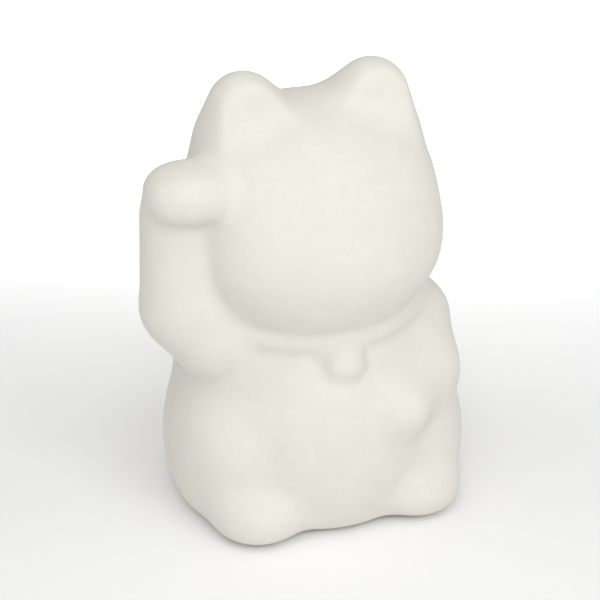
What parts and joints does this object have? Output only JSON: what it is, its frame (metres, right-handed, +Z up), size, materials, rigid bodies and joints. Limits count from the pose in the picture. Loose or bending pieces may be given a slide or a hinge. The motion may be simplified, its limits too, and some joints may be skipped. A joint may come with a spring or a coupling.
{
  "type": "beckoning cat figurine",
  "caption": "Plain off-white ceramic cat figurine with a raised paw, hollow as a coin bank, with a slot behind the head, a soft base stopper and small anti-slip pads.",
  "frame": {"origin": "centre of the outline in plan, on the surface the figurine stands on", "axes": "+Z up; the cat looks along -Y; its raised right paw is on the -X side"},
  "size_m": [0.0936, 0.0887, 0.1277],
  "materials": {
    "bisque": "unglazed matt bisque, fine powdery grain",
    "soft_plug": "soft milky plastic, satin",
    "pad_rubber": "matt rubber"
  },
  "bodies": {
    "figurine": {"cat_shell": "bisque", "foot_pad_front_right": "pad_rubber", "foot_pad_front_left": "pad_rubber", "foot_pad_rear_right": "pad_rubber", "foot_pad_rear_left": "pad_rubber"},
    "stopper": {"base_stopper": "soft_plug"}
  },
  "joints": [
    {"name": "stopper_pull", "type": "slide", "parent": "figurine", "child": "stopper", "axis": [0, 0, -1], "range_m": [0, 0.02]}
  ]
}
